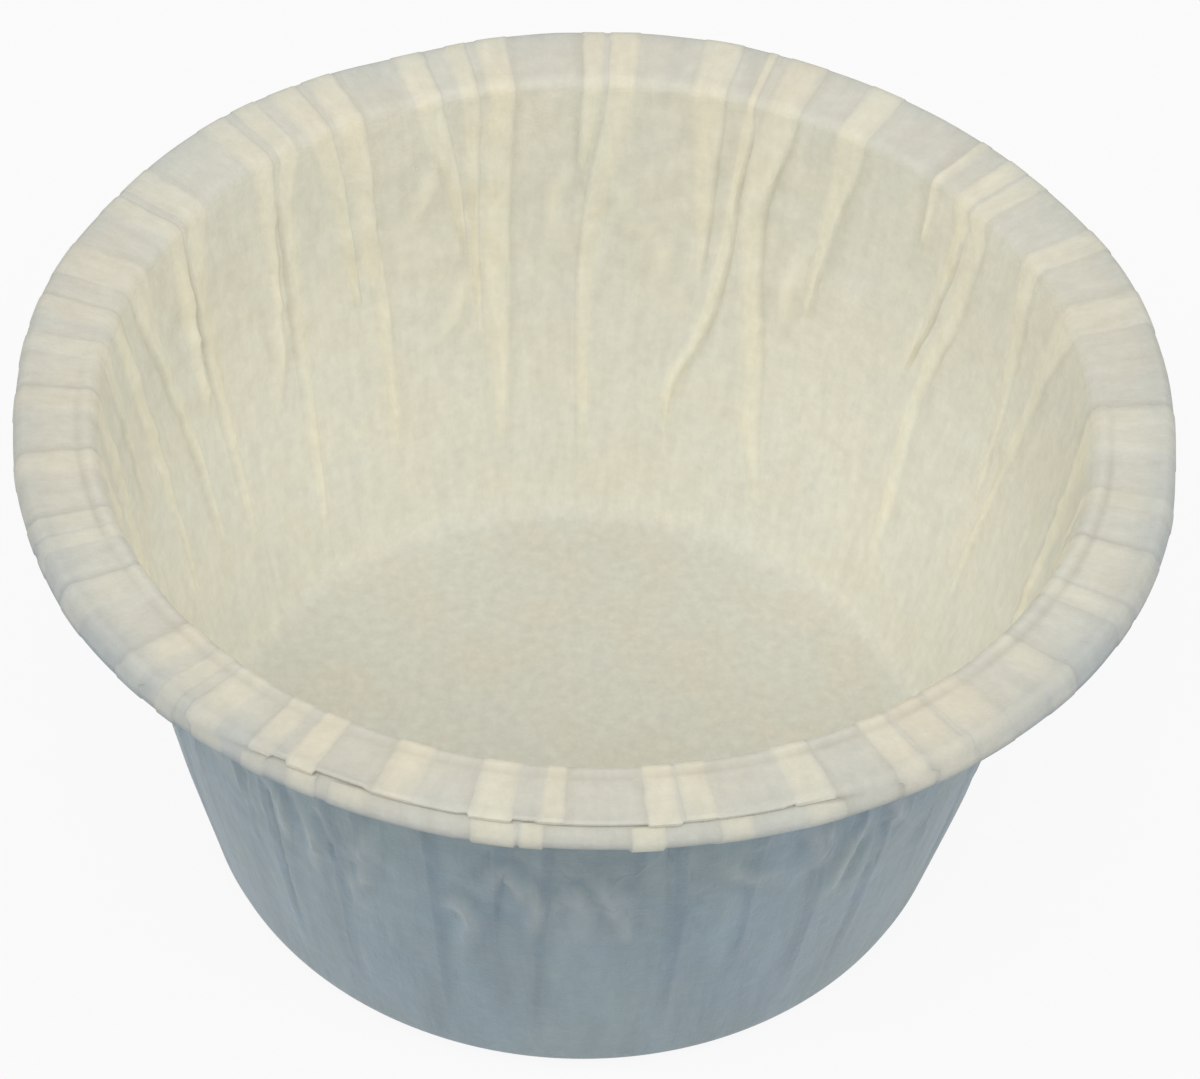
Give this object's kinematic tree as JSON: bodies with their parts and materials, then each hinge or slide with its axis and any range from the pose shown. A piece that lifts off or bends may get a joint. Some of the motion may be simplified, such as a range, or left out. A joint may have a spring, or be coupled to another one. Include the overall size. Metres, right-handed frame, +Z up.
{
  "type": "baking cup liner",
  "caption": "Free-standing round paper baking cup with a flat floor, a flared pleated wall and a rolled-over rim, for baking one small cake.",
  "frame": {"origin": "on the table, under the middle of the flat floor", "axes": "+Z up through the mouth; X and Y across the cup, which has no front of its own. The picture looks from the -Y side"},
  "size_m": [0.0714, 0.0714, 0.0368],
  "materials": {
    "paper": "uncoated greaseproof paper, cream inside and on the rolled rim, pale blue-grey outside"
  },
  "bodies": {
    "root": {"liner": "paper"}
  },
  "joints": []
}
